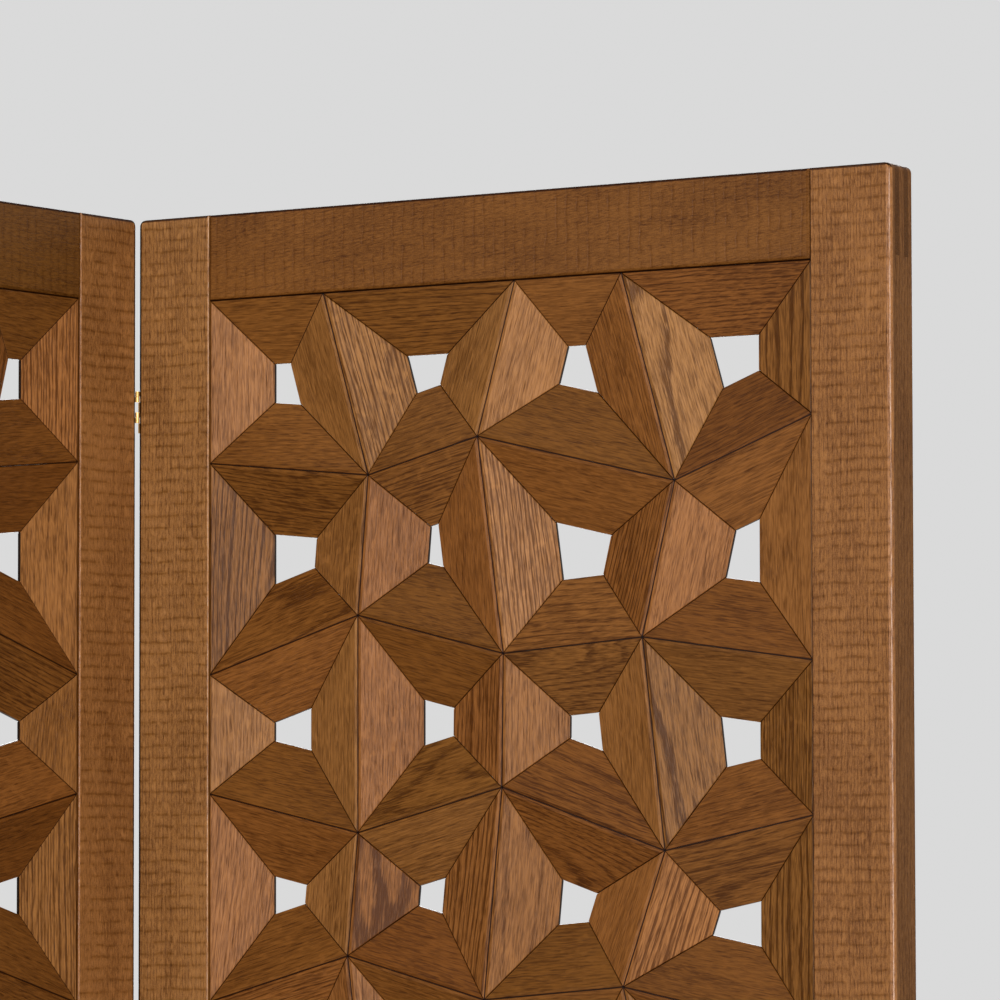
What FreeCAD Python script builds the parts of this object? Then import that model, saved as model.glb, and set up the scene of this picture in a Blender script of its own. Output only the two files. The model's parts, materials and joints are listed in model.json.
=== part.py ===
"""Folding screen of three oak panels, each a jointed frame around an open lattice of wedge battens.

Lengths are in millimetres, +Z is up and the front of the screen faces -Y.
The origin lies on the floor under the centre of the middle panel, and the screen keeps its
outline when it is turned half a turn about +Z.

In a panel's own frame x runs from its left edge to its right edge, y from its front face
to its back face, and z up from the floor.
"""
import math
import os

import FreeCAD
import Part

V = FreeCAD.Vector
UP = V(0, 0, 1)

# Frame of one panel
panel_width = 600.0
panel_thickness = 32.0
stile_width = 60.0
rail_height = 61.0
corner_chamfer = 2.0
arris_chamfer = 1.0
glue_line = 0.1

# Lattice of one panel
cell_columns = 4
cell_rows = 13
row_pitch = 122.0
mean_opening = 27.0
least_opening_side = 3.0
lattice_recess = 1.8
opening_wall = 2.4

# How the screen stands: the angle of each panel to the line of the whole screen
fold_angle = 42.0

# Hinges: small butt hinges with two short barrels each, let into the panels' edges
hinge_height = 30.0
hinge_top_drop = 123.0
hinges_per_seam = 2
leaf_depth = 18.0
leaf_wall = 0.8
pin_radius = 0.75
pin_running_clearance = 0.05
pivot_side_offset = 0.9
pivot_face_offset = 0.5
barrels_per_hinge = 2
barrel_end_play = 0.2
barrel_clearance = 0.3
mortise_clearance = 0.1

# One overrun for every cut
cut_overrun = 5.0

# Sizes that follow
panel_height = 2 * rail_height + cell_rows * row_pitch
column_pitch = (panel_width - 2 * stile_width) / cell_columns
batten_width = (min(column_pitch, row_pitch) - mean_opening) / 2
ridge_thickness = panel_thickness - 2 * lattice_recess
relief_depth = (ridge_thickness - opening_wall) / 2
comb_layer = panel_thickness / 5
half_seam = glue_line / 2
bore_radius = pin_radius + pin_running_clearance
barrel_radius = bore_radius + leaf_wall
barrel_height = hinge_height / (2 * barrels_per_hinge)
leaf_seat = barrel_radius - pivot_side_offset
leaf_face = leaf_seat - leaf_wall

# Where the lattice's ridge lines cross, as shares of the column pitch and the row pitch off an
# even grid: one row of shares for each level from the top down to the middle of the panel.
# The lower half of the panel is the upper half turned half a turn in its own plane.
side_shift_shares = [
    [0, -0.21, 0.09, -0.21, 0],
    [0, 0.10, -0.16, 0.13, 0],
    [0, 0.03, 0.01, -0.08, 0],
    [0, 0.03, 0.00, 0.06, 0],
    [0, -0.04, -0.12, -0.21, 0],
    [0, 0.12, 0.10, 0.05, 0],
    [0, -0.10, 0.05, -0.09, 0],
]
drop_shift_shares = [
    [0, 0, 0, 0, 0],
    [-0.05, 0.06, -0.13, 0.17, -0.16],
    [0.18, -0.14, 0.10, 0.03, 0.18],
    [-0.13, 0.10, -0.15, 0.21, 0.02],
    [0.07, -0.20, 0.04, -0.04, 0.20],
    [-0.14, 0.11, -0.12, 0.08, -0.12],
    [0.06, -0.08, 0.09, -0.07, 0.06],
]


def box(low, high):
    """Solid box between two corners."""
    size = high - low
    return Part.makeBox(size.x, size.y, size.z, low)


def flat_sided_solid(near, far):
    """Solid with flat sides between two four-cornered faces, given corner by corner."""
    sides = [near, far]
    for k in range(4):
        after = (k + 1) % 4
        sides.append([near[k], near[after], far[after], far[k]])
    faces = [Part.Face(Part.makePolygon(side + [side[0]])) for side in sides]
    return Part.Solid(Part.makeShell(faces))


# Lattice

def level_shares(table, level):
    """Shares of one level of ridge crossings, counted from the top."""
    if level < len(table):
        return table[level]
    turned = table[cell_rows - level]
    return [-share for share in reversed(turned)]


def ridge_crossing(column, level):
    """Where ridge lines cross: distance from the panel's first edge, and drop from its top."""
    side = column + level_shares(side_shift_shares, level)[column]
    drop = level + level_shares(drop_shift_shares, level)[column]
    return V(stile_width + side * column_pitch, 0, rail_height + drop * row_pitch)


def corner_slopes(corners, k):
    """At corner k of a cell: the unit ways along both sides and half the angle between them."""
    ahead = (corners[(k + 1) % 4] - corners[k]).normalize()
    behind = (corners[k - 1] - corners[k]).normalize()
    half_angle = math.acos(ahead.dot(behind)) / 2
    return ahead, behind, half_angle


def inset_corner(corners, k, distance):
    """Corner k moved inwards until it lies at the distance from both of its sides."""
    ahead, behind, half_angle = corner_slopes(corners, k)
    return corners[k] + (ahead + behind) * (distance / math.sin(2 * half_angle))


def width_in_cell(corners):
    """Batten width in one cell: planed narrower where the opening would close up."""
    width = batten_width
    for k in range(4):
        after = (k + 1) % 4
        length = (corners[after] - corners[k]).Length
        lost = sum(1 / math.tan(corner_slopes(corners, end)[2]) for end in (k, after))
        width = min(width, (length - least_opening_side) / lost)
    return width


def wedge_batten(corners, k):
    """Batten on side k of a cell, full at the ridge line and thin at the opening."""
    after = (k + 1) % 4
    width = width_in_cell(corners)
    depth = relief_depth * width / batten_width
    way, _, start_angle = corner_slopes(corners, k)
    end_angle = corner_slopes(corners, after)[2]
    start_cut = way * (half_seam / math.sin(start_angle))
    end_cut = way * (half_seam / math.sin(end_angle))
    faces = []
    for distance, sunk in ((half_seam, 0), (width, depth)):
        start = inset_corner(corners, k, distance) + start_cut
        end = inset_corner(corners, after, distance) - end_cut
        front = V(0, lattice_recess + sunk, 0)
        back = V(0, panel_thickness - lattice_recess - sunk, 0)
        faces.append([start + front, end + front, end + back, start + back])
    return flat_sided_solid(*faces)


def lattice_row(row, from_right):
    """The battens of one row of cells, in the panel's frame."""
    battens = []
    for column in range(cell_columns):
        ring = [(column, row), (column + 1, row), (column + 1, row + 1), (column, row + 1)]
        corners = []
        for crossing in ring:
            point = ridge_crossing(*crossing)
            side = panel_width - point.x if from_right else point.x
            corners.append(V(side, 0, panel_height - point.z))
        battens += [wedge_batten(corners, k) for k in range(4)]
    return Part.makeCompound(battens)


# Frame

def edges_along(block, way):
    """Edges of a box that run one way."""
    return [edge for edge in block.Edges if edge.tangentAt(0).cross(way).Length < 0.5]


def panel_envelope():
    """Outline of a whole panel, with its corners and upright arrises taken off."""
    whole = box(V(0, 0, 0), V(panel_width, panel_thickness, panel_height))
    cornered = whole.makeChamfer(corner_chamfer, edges_along(whole, V(0, 1, 0)))
    eased = whole.makeChamfer(arris_chamfer, edges_along(whole, UP))
    return cornered.common(eased)


def tenon_layers(gap):
    """The two layers of a corner joint that belong to the rail, narrowed by a gap on each face."""
    return [(comb_layer * k + gap, comb_layer * (k + 1) - gap) for k in (1, 3)]


def stile(left_edge, envelope):
    """Upright of the frame, with open slots at both ends for the rails' twin tenons."""
    right_edge = left_edge + stile_width
    piece = box(V(left_edge, 0, 0), V(right_edge, panel_thickness, panel_height))
    slot_floor = rail_height + glue_line
    for front, back in tenon_layers(0):
        for low, high in (
            (-cut_overrun, slot_floor),
            (panel_height - slot_floor, panel_height + cut_overrun),
        ):
            slot_low = V(left_edge - cut_overrun, front, low)
            slot_high = V(right_edge + cut_overrun, back, high)
            piece = piece.cut(box(slot_low, slot_high))
    return piece.common(envelope)


def rail(low, envelope):
    """Cross piece of the frame, whose twin tenons run through both stiles to their outer edges."""
    high = low + rail_height
    shoulder = stile_width + glue_line
    piece = box(V(shoulder, 0, low), V(panel_width - shoulder, panel_thickness, high))
    for front, back in tenon_layers(half_seam):
        piece = piece.fuse(box(V(0, front, low), V(panel_width, back, high)))
    return piece.removeSplitter().common(envelope)


# Hinges

def hinge_levels():
    """Height of the lower end of each hinge."""
    top = panel_height - hinge_top_drop - hinge_height
    bottom = hinge_top_drop
    step = (top - bottom) / (hinges_per_seam - 1)
    return [bottom + step * k for k in range(hinges_per_seam)]


def at_edge(shape, edge_x, from_back):
    """Carry a shape made for the left edge and the front face to another edge and face."""
    turned = shape.copy()
    if from_back:
        turned = turned.mirror(V(0, panel_thickness / 2, 0), V(0, 1, 0))
    if edge_x > 0:
        turned = turned.mirror(V(edge_x / 2, 0, 0), V(1, 0, 0))
    return turned


def barrel_cylinder(radius, low, height):
    """Upright cylinder on the pivot line of the left edge and front face."""
    return Part.makeCylinder(radius, height, V(-pivot_side_offset, -pivot_face_offset, low))


def barrel_levels():
    """Lower end of each barrel above the lower end of its hinge: under each lies an open space."""
    return [barrel_height * (2 * k + 1) for k in range(barrels_per_hinge)]


def hinge_leaf(level, upper, reaches):
    """Leaf made for the left edge and front face, with one knuckle of each barrel.

    The leaf stands back from the barrels where the other leaf's knuckles turn. A leaf that
    reaches comes forward to the pivot line again in the open spaces under the barrels.
    """
    knuckle_height = (barrel_height - barrel_end_play) / 2
    standing_back = barrel_radius + barrel_clearance - pivot_face_offset
    top = level + hinge_height
    leaf = box(V(leaf_face, standing_back, level), V(leaf_seat, leaf_depth, top))
    forward = []
    for barrel in barrel_levels():
        low = level + barrel
        if upper:
            low += knuckle_height + barrel_end_play
        leaf = leaf.fuse(barrel_cylinder(barrel_radius, low, knuckle_height))
        forward.append((low, low + knuckle_height))
        if reaches:
            open_low = level + barrel - barrel_height + barrel_end_play
            forward.append((open_low, level + barrel - barrel_end_play))
    for low, high in forward:
        leaf = leaf.fuse(box(V(leaf_face, -pivot_face_offset, low), V(leaf_seat, leaf_depth, high)))
    leaf = leaf.removeSplitter()
    bore_length = hinge_height + 2 * cut_overrun
    return leaf.cut(barrel_cylinder(bore_radius, level - cut_overrun, bore_length))


def hinge_seats():
    """What is cut from a stile for its hinges: mortises for the leaves, notched for the barrels."""
    room = barrel_radius + barrel_clearance
    cuts = []
    for level in hinge_levels():
        low = V(-cut_overrun, -cut_overrun, level - mortise_clearance)
        top = level + hinge_height + mortise_clearance
        mortise = box(low, V(leaf_seat, leaf_depth + mortise_clearance, top))
        notch = box(low, V(room - pivot_side_offset, room - pivot_face_offset, top))
        cuts.append(mortise.fuse(notch).removeSplitter())
    return Part.makeCompound(cuts)


def hinge_leaves(upper, reaches):
    """The leaves of one side of a seam."""
    return Part.makeCompound([hinge_leaf(level, upper, reaches) for level in hinge_levels()])


def hinge_pins():
    """The short pins of one seam, one in each barrel."""
    pins = []
    for level in hinge_levels():
        for barrel in barrel_levels():
            pins.append(barrel_cylinder(pin_radius, level + barrel, barrel_height))
    return Part.makeCompound(pins)


# Places of the panels

def pivot_in_panel(edge_x, from_back):
    """Pivot line of a seam, in the frame of a panel that it borders."""
    side = edge_x + pivot_side_offset if edge_x > 0 else -pivot_side_offset
    depth = panel_thickness + pivot_face_offset if from_back else -pivot_face_offset
    return V(side, depth, 0)


def place_panel(angle, point_in_panel, point_in_screen):
    """Placement that turns a panel about +Z and lays one of its points on a point of the screen."""
    turn = FreeCAD.Rotation(UP, angle)
    return FreeCAD.Placement(point_in_screen - turn.multVec(point_in_panel), turn)


middle_place = place_panel(fold_angle, V(panel_width / 2, panel_thickness / 2, 0), V(0, 0, 0))
right_pivot = middle_place.multVec(pivot_in_panel(panel_width, False))
left_pivot = middle_place.multVec(pivot_in_panel(0, True))
right_place = place_panel(-fold_angle, pivot_in_panel(0, False), right_pivot)
left_place = place_panel(-fold_angle, pivot_in_panel(panel_width, True), left_pivot)

# Each panel: name, place, whether its lattice is laid out from its right edge, and its hinged
# edges, each with the side of the pivot (front or back) and which knuckle of a barrel it has
panels = [
    ("right_panel", right_place, False, {"left": (0, False, True)}),
    ("middle_panel", middle_place, True, {"left": (0, True, False), "right": (panel_width, False, False)}),
    ("left_panel", left_place, False, {"right": (panel_width, True, True)}),
]


def export(name, shape, place):
    """Put a shape of a panel in its place in the screen and write it."""
    placed = shape.copy()
    placed.Placement = place.multiply(placed.Placement)
    placed.exportStep(os.path.join("parts", name + ".step"))


def build_panel(name, place, from_right, hinged_edges):
    """Write the frame, the lattice and the hinge leaves of one panel."""
    envelope = panel_envelope()
    stiles = {"left": stile(0, envelope), "right": stile(panel_width - stile_width, envelope)}
    for side, (edge_x, from_back, upper) in hinged_edges.items():
        seats = at_edge(hinge_seats(), edge_x, from_back)
        for seat in seats.Solids:
            stiles[side] = stiles[side].cut(seat)
        leaves = at_edge(hinge_leaves(upper, reaches=upper), edge_x, from_back)
        export(f"{name}_{side}_hinge_leaves", leaves, place)
    for side, piece in stiles.items():
        export(f"{name}_{side}_stile", piece, place)
    export(f"{name}_bottom_rail", rail(0, envelope), place)
    export(f"{name}_top_rail", rail(panel_height - rail_height, envelope), place)
    for row in range(cell_rows):
        export(f"{name}_lattice_row_{row + 1:02d}", lattice_row(row, from_right), place)


def build():
    """Write every node of the screen."""
    os.makedirs("parts", exist_ok=True)
    for panel in panels:
        build_panel(*panel)
    pins = at_edge(hinge_pins(), 0, True).Solids + at_edge(hinge_pins(), panel_width, False).Solids
    export("hinge_pins", Part.makeCompound(pins), middle_place)
    print("panel height", panel_height)
    print("right pivot", right_pivot.x, right_pivot.y, "left pivot", left_pivot.x, left_pivot.y)


build()
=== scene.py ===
"""Looks of the folding screen: oiled oak with eased arrises, brass hinges, floor, light and camera.

Lengths are in metres. In a panel's own frame x runs from its left edge to its right edge,
y from its front face to its back face, and z up from the floor.
"""
import json
import math
import random

import bmesh
import bpy
from mathutils import Euler, Matrix, Vector


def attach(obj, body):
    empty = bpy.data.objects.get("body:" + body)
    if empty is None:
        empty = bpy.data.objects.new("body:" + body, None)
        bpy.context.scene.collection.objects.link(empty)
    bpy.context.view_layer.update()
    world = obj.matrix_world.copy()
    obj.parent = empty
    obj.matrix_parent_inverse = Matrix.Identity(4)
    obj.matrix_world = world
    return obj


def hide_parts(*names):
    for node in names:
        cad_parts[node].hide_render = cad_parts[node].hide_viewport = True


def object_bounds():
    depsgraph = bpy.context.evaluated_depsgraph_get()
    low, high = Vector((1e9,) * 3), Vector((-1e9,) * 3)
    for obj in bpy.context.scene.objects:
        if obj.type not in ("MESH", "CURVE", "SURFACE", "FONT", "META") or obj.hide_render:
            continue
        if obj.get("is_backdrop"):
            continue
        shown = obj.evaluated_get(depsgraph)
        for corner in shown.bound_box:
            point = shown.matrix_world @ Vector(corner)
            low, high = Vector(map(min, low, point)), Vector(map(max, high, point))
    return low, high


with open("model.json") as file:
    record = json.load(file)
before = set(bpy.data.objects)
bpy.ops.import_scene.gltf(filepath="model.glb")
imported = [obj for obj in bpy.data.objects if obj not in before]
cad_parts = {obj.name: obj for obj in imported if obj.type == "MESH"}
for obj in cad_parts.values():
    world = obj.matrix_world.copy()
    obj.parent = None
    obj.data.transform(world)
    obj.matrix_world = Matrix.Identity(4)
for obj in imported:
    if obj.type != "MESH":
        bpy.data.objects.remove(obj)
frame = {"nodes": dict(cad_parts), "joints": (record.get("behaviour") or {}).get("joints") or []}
cad_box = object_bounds()

MM = 0.001
UP = Vector((0, 0, 1))
TO_RIGHT = Vector((1, 0, 0))

# Sizes of the part that the pieces here are built from
PANEL_WIDTH = 600 * MM
PANEL_THICKNESS = 32 * MM
PANEL_HEIGHT = 1708 * MM
STILE_WIDTH = 60 * MM
RAIL_HEIGHT = 61 * MM
GLUE_LINE = 0.1 * MM
COMB_LAYER = PANEL_THICKNESS / 5
FOLD = math.radians(42)
PIVOT_SIDE = 0.9 * MM
PIVOT_FACE = 0.5 * MM

# Widths of the eased arrises: rounded on the frames, flat on the battens
FREE_ARRIS = 3.2 * MM
SEAM_ARRIS = 1.7 * MM
INNER_ARRIS = 1.3 * MM
SHOULDER_ARRIS = 2.3 * MM
END_ARRIS = 1.3 * MM
RIDGE_ARRIS = 2.6 * MM
FRAME_SIDE_ARRIS = 1.2 * MM
FINE_ARRIS = 0.55 * MM
OPENING_ARRIS = 0.12 * MM
# Radius of a frame's outer corners, the widest rounding of all
CORNER = 4.8 * MM

# How far a cutting box reaches past what it cuts
OVERRUN = 5 * MM
# What lies as near as this to a line counts as on it, in metres and in shares of a box
NEAR = 1 * MM
NEAR_SHARE = 0.1

# Edges and faces at which each panel has hinges
HINGED = {
    "right_panel": {"left": "front"},
    "middle_panel": {"left": "back", "right": "front"},
    "left_panel": {"right": "back"},
}


def panel_frames():
    """Matrix from each panel's frame to the screen's frame."""
    pivots = {joint["name"]: Vector(joint["pos_m"]) for joint in frame["joints"]}
    to_centre = Matrix.Translation((-PANEL_WIDTH / 2, -PANEL_THICKNESS / 2, 0))
    turned = Matrix.Rotation(-FOLD, 4, "Z")
    in_right = Vector((-PIVOT_SIDE, -PIVOT_FACE, 0))
    in_left = Vector((PANEL_WIDTH + PIVOT_SIDE, PANEL_THICKNESS + PIVOT_FACE, 0))
    return {
        "right_panel": Matrix.Translation(pivots["right_fold"]) @ turned @ Matrix.Translation(-in_right),
        "middle_panel": Matrix.Rotation(FOLD, 4, "Z") @ to_centre,
        "left_panel": Matrix.Translation(pivots["left_fold"]) @ turned @ Matrix.Translation(-in_left),
    }


FRAMES = panel_frames()
ROWS = sum("right_panel_lattice_row" in name for name in frame["nodes"])


# Materials

class Net:
    """The node tree of a material or a world, with short calls for adding nodes."""

    def __init__(self, owner):
        self.owner = owner
        owner.use_nodes = True
        self.tree = owner.node_tree
        self.tree.nodes.clear()

    def node(self, kind, sources=(), **settings):
        made = self.tree.nodes.new(kind)
        for key, value in settings.items():
            setattr(made, key, value)
        for key, source in dict(sources).items():
            if isinstance(source, bpy.types.NodeSocket):
                self.tree.links.new(source, made.inputs[key])
            else:
                made.inputs[key].default_value = source
        return made

    def attribute(self, name):
        return self.node("ShaderNodeAttribute", attribute_name=name).outputs

    def math(self, operation, *values, clamp=False):
        sources = dict(enumerate(values))
        return self.node("ShaderNodeMath", sources, operation=operation, use_clamp=clamp).outputs[0]

    def vector(self, operation, *values):
        made = self.node("ShaderNodeVectorMath", dict(enumerate(values)), operation=operation)
        return made.outputs["Value" if operation == "LENGTH" else "Vector"]

    def joined(self, *parts):
        return self.node("ShaderNodeCombineXYZ", dict(enumerate(parts))).outputs[0]

    def parts(self, vector):
        return self.node("ShaderNodeSeparateXYZ", {0: vector}).outputs

    def noise(self, place, cells, detail, roughness=0.5):
        """Noise with so many cells in a unit of length along each axis."""
        scaled = self.vector("MULTIPLY", place, cells)
        sources = {"Vector": scaled, "Scale": 1.0, "Detail": detail, "Roughness": roughness}
        return self.node("ShaderNodeTexNoise", sources).outputs

    def swing(self, place, cells, detail, roughness=0.5):
        """Noise about zero."""
        return self.math("SUBTRACT", self.noise(place, cells, detail, roughness)["Fac"], 0.5)

    def shift(self, place, cells, reach):
        """Vector that wanders about zero."""
        wander = self.vector("SUBTRACT", self.noise(place, cells, 1.0)["Color"], (0.5, 0.5, 0.5))
        return self.vector("MULTIPLY", wander, reach)

    def step(self, value, low, high, bottom=0.0, top=1.0):
        sources = {"Value": value, "From Min": low, "From Max": high, "To Min": bottom, "To Max": top}
        made = self.node("ShaderNodeMapRange", sources, interpolation_type="SMOOTHSTEP")
        return made.outputs["Result"]

    def blend(self, factor, first, second, kind="MIX"):
        sources = {0: factor, 6: first, 7: second}
        return self.node("ShaderNodeMix", sources, data_type="RGBA", blend_type=kind).outputs[2]

    def finish(self, sources):
        shader = self.node("ShaderNodeBsdfPrincipled", sources)
        self.node("ShaderNodeOutputMaterial", {"Surface": shader.outputs["BSDF"]})
        return self.owner


# Oak. Lengths in it are in millimetres, and noises have so many cells in one along, across and
# through a board.
DARK_OAK = (0.112, 0.036, 0.0055, 1)
YELLOWER = (0.97, 1.04, 1.02, 1)
REDDER = (1.03, 0.98, 0.98, 1)
DRIFT_CELLS = (0.006, 0.025, 0.025)
DRIFT_REACH = (0, 9, 9)
WAVER_CELLS = (0.025, 0.22, 0.22)
WAVER_REACH = (0, 1.1, 1.1)
PORE_CELLS = (0.09, 2.2, 2.2)
PORE_EDGE = (0.52, 0.64)
CLOUD_CELLS = (0.012, 0.035, 0.035)
SPECK_CELLS = (1.3, 1.6, 1.6)
# Cells of the rays along the grain, round the pith in a radian, and away from the pith
RAY_CELLS = (0.1, 110, 0.09)
RAY_EDGE = (0.6, 0.69)
RING_WIDTH = 2.9
# By how many rings the growth may run ahead, and the shares of a ring where early wood starts and ends
RING_CELLS = (0.07, 1, 1)
RING_DRIFT = 4.0
EARLY_START = (0.0, 0.12)
EARLY_END = (0.16, 0.5)
# How much each feature takes the wood from its light colour, 0, to its dark one, 1
ALL_DARK = 0.33
EARLY_DARK = 0.6
PORE_DARK = 0.3
CLOUD_DARK = 0.8
SPECK_DARK = 0.9
RAY_LIGHT = 0.26
FIGURED_FIBRE_DARK = 0.9
# The oak of the battens and that of the frames
PLANED = {
    "light": (0.37, 0.150, 0.040, 1),
    "fibre": (0.055, 0.85, 0.85),
    "fibre_dark": 1.6,
    "fleck": (0.1, 1.15, 1.15),
    "fleck_dark": 1.3,
    "rippled": False,
}
RIPPLED = {
    "light": (0.365, 0.159, 0.046, 1),
    "fibre": (0.2, 0.9, 0.9),
    "fibre_dark": 1.1,
    "fleck": (0.22, 1.15, 1.15),
    "fleck_dark": 1.0,
    "rippled": True,
}
# Ripple marks of the planer: radians in a millimetre, which makes a mark every 8.2 mm, by how many
# radians they wander, the patches that have them, and how strong they are
RIPPLE_TURN = 0.766
RIPPLE_CELLS = (0.03, 0.05, 0.05)
RIPPLE_DRIFT = 4.0
PATCH_CELLS = (0.07, 0.1, 0.1)
PATCH_EDGE = (0.36, 0.6)
# The ripple marks' relief is also painted: shade into the valleys and a highlight onto the crests
VALLEY_EDGE = (0.68, 1.0)
VALLEY_DARK = 0.24
VALLEY_DEPTH = 0.8
CREST_LIGHT = 0.09
# Dark lines at joints and along outlines, painted shade in the gaps and grooves: the distances between
# which they fade out, and how light they are
GROOVE_FADE = (0.1, 0.85)
GROOVE_LIGHT = 0.05
MITRE_FADE = (0.05, 0.45)
MITRE_LIGHT = 0.2
# Powers that a board's lightness has in green and blue, so that darker comes out redder, partly as a
# darker staining does and partly as painted shade, for the pale sheen that lying grain lacks
GREEN_POWER = 1.25
BLUE_POWER = 2.0


def early_wood(net, radius):
    """Growth rings: each starts with a dark porous band, 1, and grows lighter outwards, to 0."""
    uneven = net.noise(net.joined(radius), RING_CELLS, 1.0)["Fac"]
    drift = net.math("MULTIPLY", uneven, RING_DRIFT)
    ring = net.math("FRACT", net.math("ADD", net.math("DIVIDE", radius, RING_WIDTH), drift))
    return net.math("MULTIPLY", net.step(ring, *EARLY_START), net.step(ring, *EARLY_END, 1.0, 0.0))


def rays(net, bent, radius):
    """Rays: thin radial sheets, wide flakes where a face runs along them."""
    x, y, z = net.parts(bent)
    sheet = net.joined(x, net.math("ARCTAN2", z, y), radius)
    return net.step(net.noise(sheet, RAY_CELLS, 1.0)["Fac"], *RAY_EDGE)


def ripple_marks(net, board, light, height):
    """Lightness and height with narrow valleys across the grain, on the faces marked ripple: the lightness
    paints shade into the valleys and light onto the crests.
    """
    way = net.noise(board, RIPPLE_CELLS, 3.0, 0.6)["Fac"]
    drift = net.math("MULTIPLY", way, RIPPLE_DRIFT)
    wave = net.math("SINE", net.math("MULTIPLY_ADD", net.parts(board)[0], RIPPLE_TURN, drift))
    strength = net.step(net.noise(board, PATCH_CELLS, 3.0, 0.6)["Fac"], *PATCH_EDGE)
    strength = net.math("MULTIPLY", strength, net.attribute("ripple")["Fac"])
    valley = net.math("MULTIPLY", net.step(wave, *VALLEY_EDGE), strength)
    crest = net.math("MULTIPLY", net.math("MULTIPLY", wave, -CREST_LIGHT), strength)
    light = net.math("MULTIPLY", light, net.math("ADD", crest, 1.0))
    light = net.math("MULTIPLY", light, net.math("MULTIPLY_ADD", valley, -VALLEY_DARK, 1.0))
    return light, net.math("MULTIPLY_ADD", valley, -VALLEY_DEPTH, height)


def oak(name, cut, gloss=0.16, dullness=0.32):
    """Stained oak cut out of solid growth rings.

    The attribute board holds the place along the grain and from the pith; tone holds how light, how
    red and how figured the board is, the lightness also painting light and shade by how the piece faces;
    joint holds the distances to the nearest joints and outlines, whose dark lines are painted shade;
    darker holds how much a face is darkened, for darker end grain and for painted shade on walls and
    outlines, or below 0 lightened, partly by wear and partly as a painted highlight; and ripple how
    strong its ripple marks are.
    """
    net = Net(bpy.data.materials.new(name))
    board = net.attribute("board")["Vector"]
    light, redness, figure = net.parts(net.attribute("tone")["Vector"])
    bent = net.vector("ADD", board, net.shift(board, DRIFT_CELLS, DRIFT_REACH))
    bent = net.vector("ADD", bent, net.shift(board, WAVER_CELLS, WAVER_REACH))
    radius = net.vector("LENGTH", net.vector("MULTIPLY", bent, (0, 1, 1)))
    early = early_wood(net, radius)
    pores = net.step(net.noise(bent, PORE_CELLS, 1.0)["Fac"], *PORE_EDGE)
    pored = net.math("MULTIPLY", pores, net.math("MULTIPLY_ADD", early, 0.5, 0.5))
    fibre = net.swing(bent, cut["fibre"], 3.0, 0.65)

    contrast = -cut["fibre_dark"]
    if not cut["rippled"]:
        contrast = net.math("MULTIPLY_ADD", figure, -FIGURED_FIBRE_DARK, contrast)
    dark = net.math("MULTIPLY_ADD", net.math("MULTIPLY", early, figure), EARLY_DARK, ALL_DARK)
    dark = net.math("MULTIPLY_ADD", pored, PORE_DARK, dark)
    dark = net.math("MULTIPLY_ADD", fibre, contrast, dark)
    dark = net.math("MULTIPLY_ADD", net.swing(bent, cut["fleck"], 1.5), -cut["fleck_dark"], dark)
    dark = net.math("MULTIPLY_ADD", net.swing(board, CLOUD_CELLS, 2.0), -CLOUD_DARK, dark)
    if cut["rippled"]:
        dark = net.math("MULTIPLY_ADD", net.swing(board, SPECK_CELLS, 1.0), -SPECK_DARK, dark)
    dark = net.math("MULTIPLY_ADD", rays(net, bent, radius), -RAY_LIGHT, dark, clamp=True)
    wood = net.blend(dark, cut["light"], DARK_OAK)
    wood = net.blend(1.0, wood, net.blend(redness, YELLOWER, REDDER), "MULTIPLY")

    height = net.math("MULTIPLY_ADD", pored, -0.5, net.math("MULTIPLY", fibre, 0.4))
    if cut["rippled"]:
        light, height = ripple_marks(net, board, light, height)
    # Painted shade in the joints' gaps and grooves and along the outlines
    joint = net.parts(net.attribute("joint")["Vector"])
    groove = net.step(joint[0], *GROOVE_FADE, GROOVE_LIGHT)
    mitre = net.step(net.math("MINIMUM", joint[1], joint[2]), *MITRE_FADE, MITRE_LIGHT)
    light = net.math("MULTIPLY", net.math("MULTIPLY", light, groove), mitre)
    stain_and_shade = net.joined(light, net.math("POWER", light, GREEN_POWER), net.math("POWER", light, BLUE_POWER))
    stained_and_shaded = net.blend(1.0, wood, stain_and_shade, "MULTIPLY")
    # A face's own darkening: darker end grain and sides, painted shade on walls and outlines, and a
    # painted highlight with some wear where it is below 0
    face_tone_and_shade = net.math("SUBTRACT", 1.0, net.attribute("darker")["Fac"])
    rough = net.math("MULTIPLY_ADD", pored, 0.15, net.math("MULTIPLY_ADD", fibre, -0.25, dullness))
    bump = net.node("ShaderNodeBump", {"Height": height, "Strength": 0.7, "Distance": 0.2 * MM})
    return net.finish({
        "Base Color": net.blend(1.0, stained_and_shaded, net.joined(face_tone_and_shade, face_tone_and_shade, face_tone_and_shade), "MULTIPLY"),
        "Roughness": rough,
        "Specular IOR Level": gloss,
        "Normal": bump.outputs["Normal"],
    })


BRIGHT_BRASS = (0.78, 0.52, 0.2, 1)
TARNISHED_BRASS = (0.58, 0.35, 0.12, 1)


def brass(name):
    """Satin brass with fine drawn lines and a little tarnish."""
    net = Net(bpy.data.materials.new(name))
    place = net.node("ShaderNodeTexCoord").outputs["Object"]
    drawn = net.noise(place, (9000, 9000, 400), 3.0)["Fac"]
    tarnish = net.step(net.noise(place, (220, 220, 220), 3.0)["Fac"], 0.35, 0.75)
    bump = net.node("ShaderNodeBump", {"Height": drawn, "Strength": 0.12, "Distance": 0.1 * MM})
    return net.finish({
        "Base Color": net.blend(tarnish, BRIGHT_BRASS, TARNISHED_BRASS),
        "Metallic": 1.0,
        "Roughness": net.math("MULTIPLY_ADD", tarnish, 0.14, net.math("MULTIPLY_ADD", drawn, 0.12, 0.36)),
        "Normal": bump.outputs["Normal"],
    })


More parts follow.
